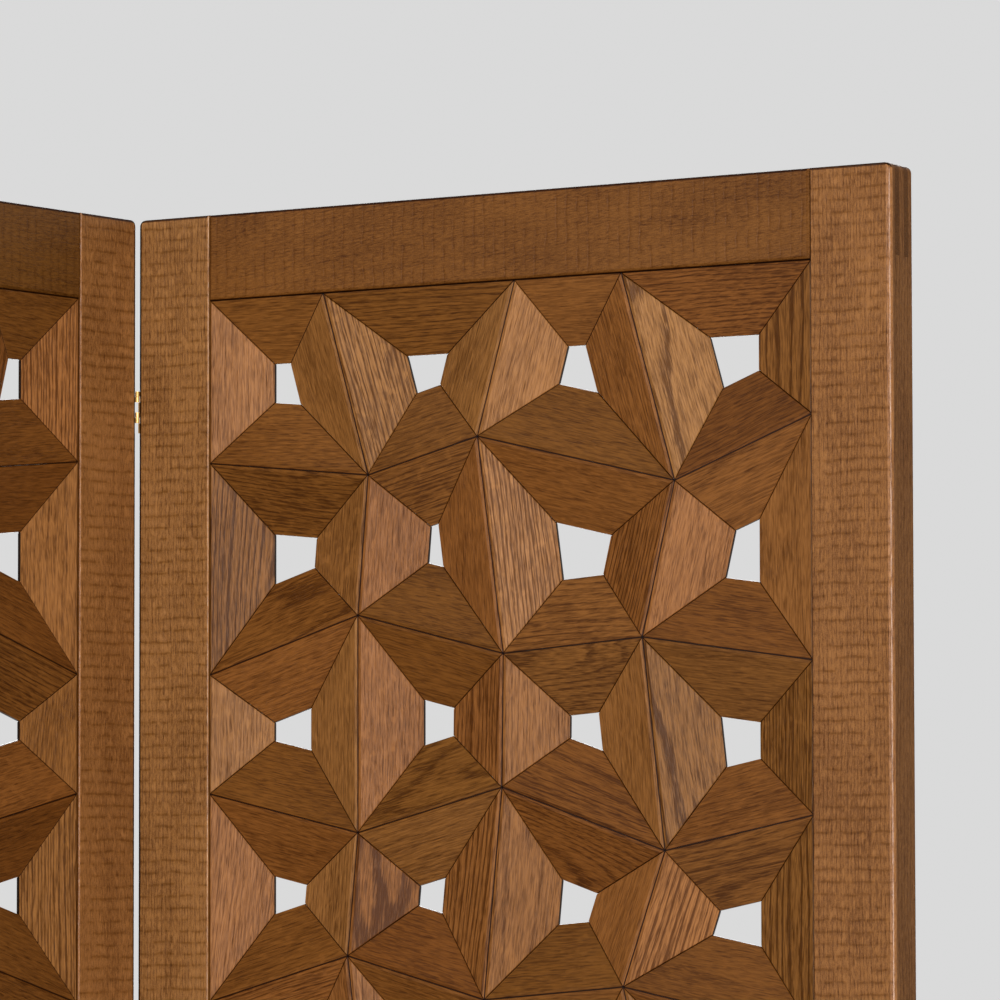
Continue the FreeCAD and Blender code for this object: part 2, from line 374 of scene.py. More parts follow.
OAK_OF_BATTENS = [oak("oak_battens", PLANED)]
OAK_OF_FRAME = [
    oak("oak_frame", RIPPLED),
    oak("oak_worn_arris", RIPPLED, gloss=0.25, dullness=0.26),
    oak("oak_unpolished", RIPPLED, gloss=0.04, dullness=0.4),
]
# Places of the frames' oaks in that list
OPEN_FACE, WORN_ARRIS, UNPOLISHED = range(3)
BRASS = [brass("brass")]


# Helpers for meshes

def link(name, data):
    made = bpy.data.objects.new(name, data)
    bpy.context.scene.collection.objects.link(made)
    return made


def new_shape():
    shape = bmesh.new()
    shape.edges.layers.float.new("bevel_weight_edge")
    return shape


def to_mesh(shape, name):
    bmesh.ops.recalc_face_normals(shape, faces=shape.faces)
    mesh = bpy.data.meshes.new(name)
    shape.to_mesh(mesh)
    shape.free()
    return mesh


def to_object(shape, name):
    return link(name, to_mesh(shape, name))


def settle(made):
    """Replace an object's mesh by the result of its modifiers."""
    graph = bpy.context.evaluated_depsgraph_get()
    result = bpy.data.meshes.new_from_object(made.evaluated_get(graph))
    old = made.data
    made.modifiers.clear()
    made.data = result
    bpy.data.meshes.remove(old)


def ease(made, width, segments):
    """Round the edges that carry a weight, the heaviest by the whole width. One segment is flat."""
    rounding = made.modifiers.new("arrises", "BEVEL")
    rounding.width = width
    rounding.segments = segments
    rounding.limit_method = "WEIGHT"
    rounding.use_clamp_overlap = False
    rounding.harden_normals = segments > 1
    settle(made)


def cut_away(made, shape):
    """Cut the solids of a shape from an object."""
    tool = to_object(shape, "cutter")
    cutting = made.modifiers.new("cuts", "BOOLEAN")
    cutting.operation = "DIFFERENCE"
    cutting.solver = "EXACT"
    cutting.use_self = True
    cutting.object = tool
    settle(made)
    bpy.data.objects.remove(tool)


def no_radius(direction, middle):
    return 0.0


def add_block(shape, low, high, radius_of=no_radius):
    """Box between two corners, whose edges get the radius that radius_of gives for each.

    radius_of takes the edge's direction, 0 to 2, and its middle as shares of the box from 0 to 1.
    """
    weight = shape.edges.layers.float["bevel_weight_edge"]
    made = bmesh.ops.create_cube(shape, size=1.0)["verts"]
    shares = {}
    for vertex in made:
        shares[vertex] = vertex.co + Vector((0.5, 0.5, 0.5))
        vertex.co = Vector(low[k] + shares[vertex][k] * (high[k] - low[k]) for k in range(3))
    for edge in {edge for vertex in made for edge in vertex.link_edges}:
        way = shares[edge.verts[1]] - shares[edge.verts[0]]
        direction = max(range(3), key=lambda k: abs(way[k]))
        middle = (shares[edge.verts[0]] + shares[edge.verts[1]]) / 2
        edge[weight] = radius_of(direction, middle) / CORNER


def write_vectors(mesh, name, rows):
    made = mesh.attributes.new(name, "FLOAT_VECTOR", "POINT")
    made.data.foreach_set("vector", [number for row in rows for number in row])


def write_faces(mesh, name, values):
    mesh.attributes.new(name, "FLOAT", "FACE").data.foreach_set("value", values)


def dress(made, materials, panel, nodes=()):
    """Materials, place and body of a piece made in its panel's frame."""
    chosen = [face.material_index for face in made.data.polygons]
    made.data.materials.clear()
    for material in materials:
        made.data.materials.append(material)
    made.data.polygons.foreach_set("material_index", chosen)
    made.data.transform(FRAMES[panel])
    made.data.update()
    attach(made, panel)
    if nodes:
        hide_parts(*nodes)


# Share of the boards that are cut near the pith, how far it lay from these and from the others, and
# how much they lean to it in a millimetre. Lengths are in millimetres here too.
NEAR_PITH_SHARE = 0.22
NEAR_PITH = (14, 45)
FAR_PITH = (60, 220)
NEAR_LEAN = 0.1
FAR_LEAN = 0.025
LOG_LENGTH = 3000
# Share of the boards whose rings show in full, and how much they show on the others
STRONG_FIGURE_SHARE = 0.38
CALM_FIGURE = (0.08, 0.45)


class Board:
    """The piece of oak that something is cut from: where its pith lay, and how light and red it is."""

    def __init__(self, seed, origin, along, across, light, spread, figure):
        luck = random.Random(seed)
        near_pith = luck.random() < NEAR_PITH_SHARE
        lean = NEAR_LEAN if near_pith else FAR_LEAN
        self.origin = origin
        self.along = along
        self.across = across
        self.shift = luck.uniform(0, LOG_LENGTH)
        bearing = luck.uniform(0, 2 * math.pi)
        distance = luck.uniform(*(NEAR_PITH if near_pith else FAR_PITH))
        self.pith = (distance * math.cos(bearing), distance * math.sin(bearing))
        self.lean = (luck.uniform(-lean, lean), luck.uniform(-lean, lean))
        strong = luck.random() < STRONG_FIGURE_SHARE
        figured = figure * (1.0 if strong else luck.uniform(*CALM_FIGURE))
        self.tone = (light * (1 + luck.gauss(0, spread)), luck.random(), figured)

    def place(self, point):
        """Millimetres along the grain, and from the pith across and through the board."""
        x = (point - self.origin).dot(self.along) / MM
        y = (point - self.origin).dot(self.across) / MM
        z = (point.y - PANEL_THICKNESS / 2) / MM
        return x + self.shift, y + self.pith[0] + self.lean[0] * x, z + self.pith[1] + self.lean[1] * x


# Lattice

# Number of the random draw that deals the boards out to the battens
BATTEN_DRAW = 3481
# Lightness of the upright battens to the left and to the right of an opening: painted light and shade,
# lighter where their faces turn to the light, and set for each panel by how it turns
UPRIGHT_LIGHT = {"right_panel": (1.06, 0.91), "middle_panel": (0.89, 0.95), "left_panel": (1.02, 0.94)}
# Lightness of the lying battens below and above an opening: painted shade, for the sheen that lying grain
# lacks and for how their faces turn to the light
LYING_LIGHT = {"right_panel": (0.645, 0.685), "middle_panel": (0.61, 0.575), "left_panel": (0.645, 0.685)}
# How much the battens' boards differ in lightness, and how strong the figure of their rings is
UPRIGHT_SPREAD = 0.13
LYING_SPREAD = 0.06
UPRIGHT_FIGURE = 1.2
LYING_FIGURE = 0.7
# Painted shade on an opening's walls, as how much darker they are than their battens, and how little their
# normals have of y
WALL_PAINTED_SHADE = 0.94
WALL_FACING = 0.2
# Millimetres by which the battens' dark line of painted shade at a joint is narrower beside a stile
STILE_CLEARANCE = 0.35


def islands(shape):
    """The vertices of each solid of a shape, in the order of the solids' first vertices."""
    seen = set()
    found = []
    for start in shape.verts:
        if start.index in seen:
            continue
        seen.add(start.index)
        island = [start]
        for vertex in island:
            for edge in vertex.link_edges:
                other = edge.other_vert(vertex)
                if other.index not in seen:
                    seen.add(other.index)
                    island.append(other)
        found.append(island)
    return found


def corner_pairs(points):
    """A batten's corners in pairs of a front and a back one, round its outline.

    The two pairs on the ridge come first, then the two on the opening.
    """
    front = [p for p in points if p.y < PANEL_THICKNESS / 2]
    back = [p for p in points if p.y > PANEL_THICKNESS / 2]
    pairs = []
    for near in front:
        far = min(back, key=lambda p: (p.x - near.x) ** 2 + (p.z - near.z) ** 2)
        pairs.append((near, far))
    pairs.sort(key=lambda pair: pair[0].y - pair[1].y)
    first, second = sorted(pairs[:2], key=lambda pair: (round(pair[0].x, 5), pair[0].z))
    way = second[0] - first[0]
    third, fourth = sorted(pairs[2:], key=lambda pair: -(pair[0] - first[0]).dot(way))
    return first, second, third, fourth


def row_of_battens(node, panel):
    """The pairs of corners of every batten of a CAD row."""
    shape = bmesh.new()
    shape.from_mesh(node.data)
    bmesh.ops.remove_doubles(shape, verts=shape.verts, dist=0.01 * MM)
    shape.verts.ensure_lookup_table()
    to_panel = FRAMES[panel].inverted()
    battens = [corner_pairs([to_panel @ vertex.co for vertex in island]) for island in islands(shape)]
    shape.free()
    return battens


def mitre_distance(start, end, inside):
    """Function that gives a point's distance in millimetres from the upright plane through two points."""
    side = (end - start).cross(Vector((0, 1, 0)))
    side.y = 0
    side.normalize()
    if side.dot(inside - start) < 0:
        side = -side
    return lambda point: side.dot(point - start) / MM


def beside_frame(first, second):
    """Whether the ridge between two points runs along a stile, and whether along a rail."""
    stiles = (STILE_WIDTH, PANEL_WIDTH - STILE_WIDTH)
    rails = (RAIL_HEIGHT, PANEL_HEIGHT - RAIL_HEIGHT)
    along_stile = any(abs(first.x - x) < NEAR and abs(second.x - x) < NEAR for x in stiles)
    along_rail = any(abs(first.z - z) < NEAR and abs(second.z - z) < NEAR for z in rails)
    return along_stile, along_rail


def add_batten(shape, pairs, number):
    """Solid of a batten, whose vertices know its number and whose edges know their arrises."""
    weight = shape.edges.layers.float["bevel_weight_edge"]
    owner = shape.verts.layers.int["owner"]
    front = [shape.verts.new(pair[0]) for pair in pairs]
    back = [shape.verts.new(pair[1]) for pair in pairs]
    for vertex in front + back:
        vertex[owner] = number
    shape.faces.new(front)
    shape.faces.new(back)
    for k in range(4):
        after = (k + 1) % 4
        shape.faces.new((front[k], front[after], back[after], back[k]))
    ridge_arris = FRAME_SIDE_ARRIS if any(beside_frame(pairs[0][0], pairs[1][0])) else RIDGE_ARRIS
    for ring in (front, back):
        for k, arris in enumerate((ridge_arris, FINE_ARRIS, OPENING_ARRIS, FINE_ARRIS)):
            shape.edges.get((ring[k], ring[(k + 1) % 4]))[weight] = arris / RIDGE_ARRIS


def batten_oak(panel, pairs, seed):
    """A batten's board, and the function that gives a point's distances from its joints."""
    first, second, third, fourth = (pair[0] for pair in pairs)
    along = Vector((second.x - first.x, 0, second.z - first.z)).normalized()
    across = Vector((-along.z, 0, along.x))
    if across.dot(third - first) < 0:
        across = -across
    # The lightness for each facing is painted light and shade
    if abs(along.x) > abs(along.z):
        light, spread, figure = LYING_LIGHT[panel][across.z < 0], LYING_SPREAD, LYING_FIGURE
    else:
        light, spread, figure = UPRIGHT_LIGHT[panel][across.x < 0], UPRIGHT_SPREAD, UPRIGHT_FIGURE
    middle = (first + second + third + fourth) / 4
    from_mitres = (mitre_distance(first, fourth, middle), mitre_distance(second, third, middle))
    clearance = STILE_CLEARANCE * beside_frame(first, second)[0]

    def joint(point):
        from_ridge = (point - first).dot(across) / MM + clearance
        return from_ridge, from_mitres[0](point), from_mitres[1](point)

    return Board(seed, first, along, across, light, spread, figure), joint


def lattice_row(panel, row):
    """One row of cells with every batten's arrises eased and its own board of oak."""
    node_name = f"{panel}_lattice_row_{row:02d}"
    shape = new_shape()
    shape.verts.layers.int.new("owner")
    oaks = []
    for number, pairs in enumerate(row_of_battens(frame["nodes"][node_name], panel)):
        add_batten(shape, pairs, number)
        oaks.append(batten_oak(panel, pairs, f"{node_name} {number} {BATTEN_DRAW}"))
    made = link(f"battens_{panel}_{row:02d}", to_mesh(shape, f"{node_name}_eased"))
    ease(made, RIDGE_ARRIS, 1)
    mesh = made.data
    owners = [item.value for item in mesh.attributes["owner"].data]
    written = {"board": [], "tone": [], "joint": []}
    for vertex, number in zip(mesh.vertices, owners):
        board, joint = oaks[number]
        written["board"].append(board.place(vertex.co))
        written["tone"].append(board.tone)
        written["joint"].append(joint(vertex.co))
    for name, rows in written.items():
        write_vectors(mesh, name, rows)
    # Painted shade on the opening's walls
    walls = [abs(face.normal.y) < WALL_FACING for face in mesh.polygons]
    write_faces(mesh, "darker", [WALL_PAINTED_SHADE * wall for wall in walls])
    dress(made, OAK_OF_BATTENS, panel, [node_name])


for panel_name in FRAMES:
    for row_number in range(1, ROWS + 1):
        lattice_row(panel_name, row_number)


# Frames

# Steps of a rounded outer corner and of a rounded arris
CORNER_STEPS = 5
ARRIS_STEPS = 6
BEVEL_STEPS = 4
# How much darker than its board a face is: below 0 it is lighter, partly from wear and partly as a painted
# highlight on the arris. The darkening along the outline is painted shade.
CORNER_DARKER = 0.3
END_DARKER = 0.33
SIDE_DARKER = 0.25
OUTLINE_DARKER = 0.85
RAIL_ARRIS_DARKER = 0.1
WEAR_AND_HIGHLIGHT_LIGHTER = -0.25
OUTLINE_WIDTH = 0.3 * MM
# Added to the distance from a joint: the less it is, the wider the joint's dark line
NARROW_SHADOW = 0.45 * MM
WIDE_SHADOW = -0.4 * MM
RAIL_SHADOW = {"right_panel": -0.1 * MM, "middle_panel": 0.15 * MM, "left_panel": -0.1 * MM}
# Distance that stands for no joint near
NO_JOINT = 9 * MM
# Lightness of each panel's stiles and rails: painted light and shade, set by how each panel turns to the
# light, and for the rails painted shade for the sheen that lying grain lacks
STILE_LIGHT = {"right_panel": 1.03, "middle_panel": 0.98, "left_panel": 1.0}
RAIL_LIGHT = {"right_panel": 0.655, "middle_panel": 0.475, "left_panel": 0.65}
FRAME_SPREAD = 0.03
FRAME_FIGURE = 0.4
STILE_RIPPLE = 1.0
RAIL_RIPPLE = 0.6
# Parts of a face's normal that tell how it lies: along an axis from FACING, flat and not eased from
# FLAT, open to front or back from OPEN, upright below UPRIGHT, and along an end above ENDWARD
FACING = 0.7
FLAT = 0.995
OPEN = 0.9
UPRIGHT = 0.1
ENDWARD = 0.3


def tenon_layers(gap):
    """The two layers of a corner joint that belong to the rail."""
    return [(COMB_LAYER * k + gap, COMB_LAYER * (k + 1) - gap) for k in (1, 3)]


def face_finish(face, along, arris_of):
    """How much darker than its board a frame's face is, and the place of its oak in OAK_OF_FRAME."""
    at_side = abs(face.normal.x) > FACING
    at_top = abs(face.normal.z) > FACING
    if max(abs(part) for part in face.normal) < FLAT:
        if abs(face.normal.y) < UPRIGHT:
            return CORNER_DARKER, UNPOLISHED
        darker = arris_of(face)
        return darker, WORN_ARRIS if darker < 0 else UNPOLISHED
    at_end = abs(face.normal.dot(along)) > FACING
    darker = END_DARKER if at_end else SIDE_DARKER if at_side else 0.0
    return darker, UNPOLISHED if at_side or at_top else OPEN_FACE


def finish_frame_piece(made, board, ripple, arris_of, joint_of):
    """Write the attributes that the oak of the frame reads, and choose each face's material.

    arris_of gives how much darker than the board an eased face is, and joint_of a point's distances
    from joints and outlines.
    """
    mesh = made.data
    points = [vertex.co.copy() for vertex in mesh.vertices]
    write_vectors(mesh, "board", [board.place(point) for point in points])
    write_vectors(mesh, "tone", [board.tone] * len(points))
    write_vectors(mesh, "joint", [[way / MM for way in joint_of(point)] for point in points])
    darker = []
    for face in mesh.polygons:
        shade, face.material_index = face_finish(face, board.along, arris_of)
        darker.append(shade)
    write_faces(mesh, "darker", darker)
    write_faces(mesh, "ripple", [ripple * (abs(face.normal.y) > OPEN) for face in mesh.polygons])


def hinge_levels():
    """Height of the lower end of each hinge."""
    return [HINGE_TOP_DROP, PANEL_HEIGHT - HINGE_TOP_DROP - HINGE_HEIGHT]


def mirrored(point, at_right, from_back):
    """Carry a point made for the left edge and the front face to another edge and face."""
    x = PANEL_WIDTH - point[0] if at_right else point[0]
    y = PANEL_THICKNESS - point[1] if from_back else point[1]
    return Vector((x, y, point[2]))


def hinge_seats(at_right, from_back):
    """Boxes cut from a stile for its hinge leaves and their barrels."""
    room = BARREL_RADIUS + BARREL_ROOM
    boxes = []
    for level in hinge_levels():
        low = Vector((-OVERRUN, -OVERRUN, level - MORTISE_ROOM))
        top = level + HINGE_HEIGHT + MORTISE_ROOM
        ends = (
            Vector((LEAF_SEAT, LEAF_DEPTH + MORTISE_ROOM, top)),
            Vector((room - PIVOT_SIDE, room - PIVOT_FACE, top)),
        )
        for end in ends:
            first = mirrored(low, at_right, from_back)
            second = mirrored(end, at_right, from_back)
            pairs = [sorted((first[k], second[k])) for k in range(3)]
            boxes.append((Vector(pair[0] for pair in pairs), Vector(pair[1] for pair in pairs)))
    return boxes


def stile_outline(inner, outside, side_arris):
    """Outline of a stile, rounded at its two outer corners.

    Each point has its x and z, how far the arris cuts in from there in x and in z, and how deep it is.
    """
    way = math.copysign(1, outside - inner)
    points = [(inner, 0.0, way * INNER_ARRIS, END_ARRIS, END_ARRIS)]
    for base, up in ((0.0, 1), (PANEL_HEIGHT, -1)):
        for k in range(CORNER_STEPS + 1):
            share = (k if up > 0 else CORNER_STEPS - k) / CORNER_STEPS
            sine, cosine = math.sin(math.pi / 2 * share), math.cos(math.pi / 2 * share)
            width = END_ARRIS + (side_arris - END_ARRIS) * share
            x = outside - way * CORNER * (1 - sine)
            z = base + up * CORNER * (1 - cosine)
            points.append((x, z, -way * sine * width, up * cosine * width, width))
    return points + [(inner, PANEL_HEIGHT, way * INNER_ARRIS, -END_ARRIS, END_ARRIS)]


def add_stile(shape, inner, outside, front_arris):
    """Stile with its arrises rounded: rings of its outline from the front face to the back face."""
    rings = []
    for side_arris, face_y, into in ((front_arris, 0.0, 1), (SEAM_ARRIS, PANEL_THICKNESS, -1)):
        outline = stile_outline(inner, outside, side_arris)
        for k in range(ARRIS_STEPS + 1):
            turn = math.pi / 2 * (k if into > 0 else ARRIS_STEPS - k) / ARRIS_STEPS
            inset = 1 - math.sin(turn)
            depth = into * (1 - math.cos(turn))
            rings.append([
                shape.verts.new((x + in_x * inset, face_y + width * depth, z + in_z * inset))
                for x, z, in_x, in_z, width in outline
            ])
    shape.faces.new(rings[0])
    shape.faces.new(rings[-1])
    for ring, following in zip(rings, rings[1:]):
        for k in range(len(ring)):
            after = (k + 1) % len(ring)
            shape.faces.new((ring[k], ring[after], following[after], following[k]))


def from_outline(distance, arris):
    """Distance from the dark line of painted shade where an arris, so wide, meets the faces beside it."""
    return abs(distance - arris) - OUTLINE_WIDTH


def stile(panel, side, hinges):
    """Upright of a frame, slotted for the twin tenons and cut out for its hinges."""
    at_right = side == "right"
    left = PANEL_WIDTH - STILE_WIDTH if at_right else 0.0
    high = Vector((left + STILE_WIDTH, PANEL_THICKNESS, PANEL_HEIGHT))
    inner, outside = (left, high.x) if at_right else (high.x, left)
    shape = new_shape()
    add_stile(shape, inner, outside, SEAM_ARRIS if hinges else FREE_ARRIS)
    made = to_object(shape, f"{panel}_{side}_stile_oak")
    slot = RAIL_HEIGHT + GLUE_LINE
    boxes = []
    for front, back in tenon_layers(0):
        for bottom, top in ((-OVERRUN, slot), (PANEL_HEIGHT - slot, PANEL_HEIGHT + OVERRUN)):
            first = Vector((left - OVERRUN, front, bottom))
            boxes.append((first, Vector((high.x + OVERRUN, back, top))))
    if hinges:
        boxes += hinge_seats(at_right, hinges == "back")
    cuts = new_shape()
    for first, second in boxes:
        add_block(cuts, first, second)
    cut_away(made, cuts)
    shadow = WIDE_SHADOW if (panel, side) == ("right_panel", "right") else NARROW_SHADOW

    # Painted shade on the outline's arrises; a lighter arris elsewhere, partly wear and partly a painted
    # highlight
    def arris(face):
        at_outer = abs(face.center.x - outside) < CORNER
        dark = at_outer and (hinges or face.normal.y > 0) or abs(face.normal.z) > ENDWARD
        return OUTLINE_DARKER if dark else WEAR_AND_HIGHLIGHT_LIGHTER

    def joint(point):
        from_side = from_outline(abs(point.x - outside), SEAM_ARRIS) if hinges else NO_JOINT
        return abs(point.x - inner) + shadow, from_side, from_outline(PANEL_HEIGHT - point.z, END_ARRIS)

    seed = f"{panel} {side} stile"
    start = Vector((left, 0, 0))
    board = Board(seed, start, UP, TO_RIGHT, STILE_LIGHT[panel], FRAME_SPREAD, FRAME_FIGURE)
    finish_frame_piece(made, board, STILE_RIPPLE, arris, joint)
    dress(made, OAK_OF_FRAME, panel, [f"{panel}_{side}_stile"])


def rail_shape(low, high, at_top):
    """Cross piece between the stiles, with its twin tenons through both."""
    outer = 1.0 if at_top else 0.0
    shoulder = STILE_WIDTH + GLUE_LINE

    def body_radius(direction, middle):
        if direction == 1:
            return 0.0
        at_outer_arris = direction == 0 and abs(middle.z - outer) < NEAR_SHARE
        return END_ARRIS if at_outer_arris else SHOULDER_ARRIS

    shape = new_shape()
    body_low = Vector((shoulder, 0, low))
    body_high = Vector((PANEL_WIDTH - shoulder, PANEL_THICKNESS, high))
    add_block(shape, body_low, body_high, body_radius)
    for front, back in tenon_layers(GLUE_LINE / 2):
        for left, right, edge in ((0.0, shoulder, 0.0), (PANEL_WIDTH - shoulder, PANEL_WIDTH, 1.0)):

            def tenon_radius(direction, middle, edge=edge):
                at_corner = abs(middle.x - edge) < NEAR_SHARE and abs(middle.z - outer) < NEAR_SHARE
                return CORNER if direction == 1 and at_corner else 0.0

            add_block(shape, Vector((left, front, low)), Vector((right, back, high)), tenon_radius)
    return shape


def rail(panel, end):
    """Top or bottom rail of a frame."""
    at_top = end == "top"
    low = PANEL_HEIGHT - RAIL_HEIGHT if at_top else 0.0
    high = low + RAIL_HEIGHT
    inside, outside = (low, high) if at_top else (high, low)
    made = to_object(rail_shape(low, high, at_top), f"{panel}_{end}_rail_oak")
    ease(made, CORNER, BEVEL_STEPS)
    half_width = PANEL_WIDTH / 2
    to_shoulder = half_width - STILE_WIDTH - GLUE_LINE

    def joint(point):
        from_middle = abs(point.x - half_width)
        nearest = min(abs(from_middle - to_shoulder), abs(point.z - inside)) + RAIL_SHADOW[panel]
        on_tenon = from_middle > to_shoulder + NEAR
        if on_tenon or abs(point.z - outside) < NEAR / 2:
            nearest = NO_JOINT
        return nearest, NO_JOINT, from_outline(abs(point.z - outside), END_ARRIS)

    def arris(face):
        at_outer = abs(face.center.z - outside) < CORNER
        # Painted shade on the outline's arrises
        return OUTLINE_DARKER if at_outer and abs(face.normal.z) > ENDWARD else RAIL_ARRIS_DARKER

    seed = f"{panel} {end} rail"
    start = Vector((0, 0, low))
    board = Board(seed, start, TO_RIGHT, UP, RAIL_LIGHT[panel], FRAME_SPREAD, FRAME_FIGURE)
    finish_frame_piece(made, board, RAIL_RIPPLE, arris, joint)
    dress(made, OAK_OF_FRAME, panel, [f"{panel}_{end}_rail"])


# Hinges, built for the left edge and the front face and then carried to their own

HINGE_HEIGHT = 30 * MM
HINGE_TOP_DROP = 123 * MM
LEAF_DEPTH = 18 * MM
LEAF_WALL = 0.8 * MM
LEAF_ARRIS = 0.15 * MM
PIN_RADIUS = 0.75 * MM
PIN_TAPER_SHARE = 0.97
PIN_CLEARANCE = 0.05 * MM
BARREL_RADIUS = 1.6 * MM
BARREL_HEIGHT = 7.5 * MM
BARREL_PLAY = 0.2 * MM
BARREL_ROOM = 0.3 * MM
MORTISE_ROOM = 0.1 * MM
KNUCKLE_HEIGHT = (BARREL_HEIGHT - BARREL_PLAY) / 2
# Ends of a leaf's thickness, and where its plate starts behind the front face
LEAF_SEAT = BARREL_RADIUS - PIVOT_SIDE
LEAF_FACE = LEAF_SEAT - LEAF_WALL
LEAF_START = BARREL_RADIUS + BARREL_ROOM - PIVOT_FACE
# Steps of a knuckle's whole circle, and how many of them its metal is rolled through
CIRCLE_STEPS = 36
ROLLED_STEPS = 30
SCREW_STEPS = 32
PIN_STEPS = 24
LEAF_BEVEL_STEPS = 2
SCREW_DROP = 6.9 * MM
SCREW_RADIUS = 2.2 * MM
SCREW_TAPER = 0.9 * MM
SCREW_THICKNESS = 0.7 * MM
SCREW_SET = 0.04 * MM
SLOT_DEPTH = 0.7 * MM
SLOT_WIDTH = 0.55 * MM
SLOT_LENGTH = 5 * MM
SINK_ROOM = 0.3 * MM
SINK_TAPER = 1.4 * MM
SMOOTH_ANGLE = math.radians(32)


def barrel_lows(level):
    """Lower ends of a hinge's two barrels."""
    return [level + BARREL_HEIGHT * k for k in (1, 3)]


def add_knuckle(shape, low):
    """Knuckle with its bore, rolled out of a tab that runs back to the leaf."""
    turns = [-2 * math.pi * k / CIRCLE_STEPS for k in range(CIRCLE_STEPS)]

    def ring(radius, angles):
        return [(radius * math.cos(a) - PIVOT_SIDE, radius * math.sin(a) - PIVOT_FACE) for a in angles]

    rolled = ring(BARREL_RADIUS, turns[:ROLLED_STEPS + 1])
    tab = [(LEAF_FACE, LEAF_START), (LEAF_SEAT, LEAF_START)]
    levels = []
    for height in (low, low + KNUCKLE_HEIGHT):
        outer = [shape.verts.new((x, y, height)) for x, y in rolled + tab]
        inner = [shape.verts.new((x, y, height)) for x, y in ring(PIN_RADIUS + PIN_CLEARANCE, turns)]
        for k in range(ROLLED_STEPS):
            shape.faces.new((outer[k], outer[k + 1], inner[k + 1], inner[k]))
        end = [inner[0], outer[0], outer[-1], outer[-2], outer[ROLLED_STEPS]]
        shape.faces.new(end + inner[ROLLED_STEPS:])
        levels.append((outer, inner))
    for below, above in zip(*levels):
        for k in range(len(below)):
            after = (k + 1) % len(below)
            shape.faces.new((below[k], below[after], above[after], above[k]))


def screw_places():
    """Middle of each screw's head on a leaf's face."""
    depth = (LEAF_START + LEAF_DEPTH) / 2
    middles = [level + HINGE_HEIGHT / 2 for level in hinge_levels()]
    reach = HINGE_HEIGHT / 2 - SCREW_DROP
    return [Vector((LEAF_FACE, depth, middle + way * reach)) for middle in middles for way in (-1, 1)]


def add_cone(shape, matrix, radius, far_radius, depth, segments):
    bmesh.ops.create_cone(
        shape,
        cap_ends=True,
        segments=segments,
        radius1=radius,
        radius2=far_radius,
        depth=depth,
        matrix=matrix,
    )


def add_sunk_cone(shape, start, radius, seat_radius, depth):
    """Cone that narrows from a place on a leaf's face into its seat."""
    middle = Matrix.Translation(start + Vector((depth / 2, 0, 0)))
    add_cone(shape, middle @ Matrix.Rotation(math.pi / 2, 4, "Y"), radius, seat_radius, depth, SCREW_STEPS)


def smooth_rounds(mesh):
    for face in mesh.polygons:
        face.use_smooth = True
    mesh.set_sharp_from_angle(angle=SMOOTH_ANGLE)


def carry(made, at_right, from_back):
    """Mirror a piece from the left edge and the front face to its own."""
    for vertex in made.data.vertices:
        vertex.co = mirrored(vertex.co, at_right, from_back)
    if at_right != from_back:
        made.data.flip_normals()


def leaf_plates(name):
    """The plates of one edge's two leaves, with eased arrises and countersunk holes."""
    plates = new_shape()
    for level in hinge_levels():
        low = Vector((LEAF_FACE, LEAF_START, level))
        high = Vector((LEAF_SEAT, LEAF_DEPTH, level + HINGE_HEIGHT))
        add_block(plates, low, high, lambda direction, middle: LEAF_ARRIS)
    made = to_object(plates, name)
    ease(made, CORNER, LEAF_BEVEL_STEPS)
    holes = bmesh.new()
    for place in screw_places():
        start = place - Vector((SINK_ROOM, 0, 0))
        radius = SCREW_RADIUS + SINK_ROOM
        add_sunk_cone(holes, start, radius, radius - SINK_TAPER, LEAF_WALL + 2 * SINK_ROOM)
    cut_away(made, holes)
    return made


def hinge_leaves(panel, side, from_back, upper):
    """The leaves on one edge of a panel, with two knuckles each.

    The upper knuckles' leaves also have the tabs beside the lower knuckles.
    """
    name = f"{panel}_{side}_hinge_leaves_brass"
    made = leaf_plates(name)
    whole = bmesh.new()
    whole.from_mesh(made.data)
    whole.edges.layers.float.new("bevel_weight_edge")
    for level in hinge_levels():
        for barrel in barrel_lows(level):
            add_knuckle(whole, barrel + (KNUCKLE_HEIGHT + BARREL_PLAY if upper else 0))
            if upper:
                first = Vector((LEAF_FACE, -PIVOT_FACE, barrel - BARREL_HEIGHT + BARREL_PLAY))
                second = Vector((LEAF_SEAT, LEAF_START, barrel - BARREL_PLAY))
                add_block(whole, first, second)
    made.data = to_mesh(whole, name)
    carry(made, side == "right", from_back)
    smooth_rounds(made.data)
    dress(made, BRASS, panel, [f"{panel}_{side}_hinge_leaves"])


def hinge_screws(panel, side, from_back):
    """Slotted countersunk screws that hold the leaves, each turned another way."""
    name = f"{panel}_{side}_hinge_screws"
    luck = random.Random(name)
    heads = bmesh.new()
    slots = bmesh.new()
    size = Matrix.Diagonal((SLOT_DEPTH, SLOT_WIDTH, SLOT_LENGTH, 1))
    for place in screw_places():
        start = place + Vector((SCREW_SET, 0, 0))
        add_sunk_cone(heads, start, SCREW_RADIUS, SCREW_RADIUS - SCREW_TAPER, SCREW_THICKNESS)
        turn = Matrix.Rotation(luck.uniform(0, math.pi), 4, "X")
        bmesh.ops.create_cube(slots, size=1.0, matrix=Matrix.Translation(place) @ turn @ size)
    made = to_object(heads, name)
    cut_away(made, slots)
    carry(made, side == "right", from_back)
    smooth_rounds(made.data)
    dress(made, BRASS, panel)


